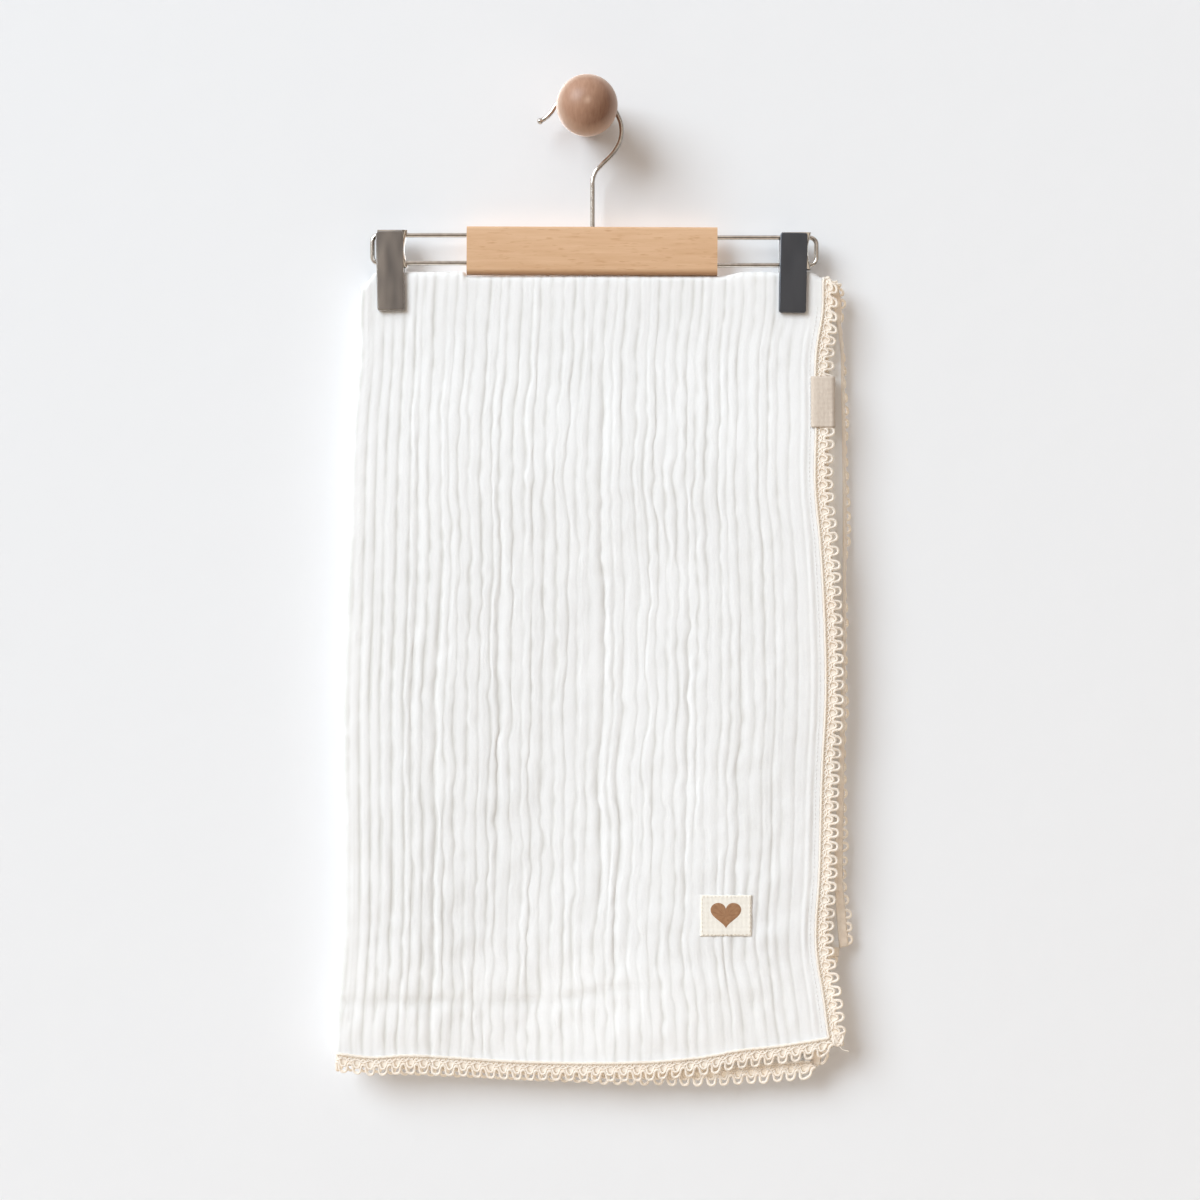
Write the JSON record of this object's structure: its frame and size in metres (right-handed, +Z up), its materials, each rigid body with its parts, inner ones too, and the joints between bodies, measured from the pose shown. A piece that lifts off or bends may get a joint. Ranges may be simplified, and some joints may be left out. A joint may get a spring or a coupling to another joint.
{
  "type": "swaddle blanket on a clip hanger and wall peg",
  "caption": "Crinkled muslin swaddle blanket with lace edging, folded in four layers over a wooden clip hanger that hangs by its wire hook on a round wall peg.",
  "frame": {"origin": "centre of the peg's flat back, on the wall", "axes": "+Z up, +Y into the wall, +X to the right seen from the room"},
  "size_m": [0.3649, 0.0647, 0.7021],
  "materials": {
    "muslin": "matt crinkled double gauze, warm white",
    "lace": "matt crochet cotton, ecru",
    "label_tape": "woven cotton tape, bare",
    "patch_tape": null,
    "beech": "satin lacquered beech",
    "peg_wood": "satin, turned",
    "steel_wire": "bright plated wire",
    "spring_steel": "bright spring strip",
    "jaw_steel": "dark nickel, lightly polished"
  },
  "bodies": {
    "root": {"blanket": "muslin", "lace_side_outer": "lace", "lace_side_inner": "lace", "lace_hem_front": "lace", "lace_hem_back": "lace", "side_label": "label_tape", "corner_patch": "patch_tape", "hanger_bar": "beech", "rail_left": "steel_wire", "rail_right": "steel_wire", "hanger_hook": "steel_wire", "clip_left_front": "jaw_steel", "clip_left_back": "jaw_steel", "clip_left_spring": "spring_steel", "clip_right_front": "jaw_steel", "clip_right_back": "jaw_steel", "clip_right_spring": "spring_steel", "wall_peg": "peg_wood"}
  },
  "joints": []
}
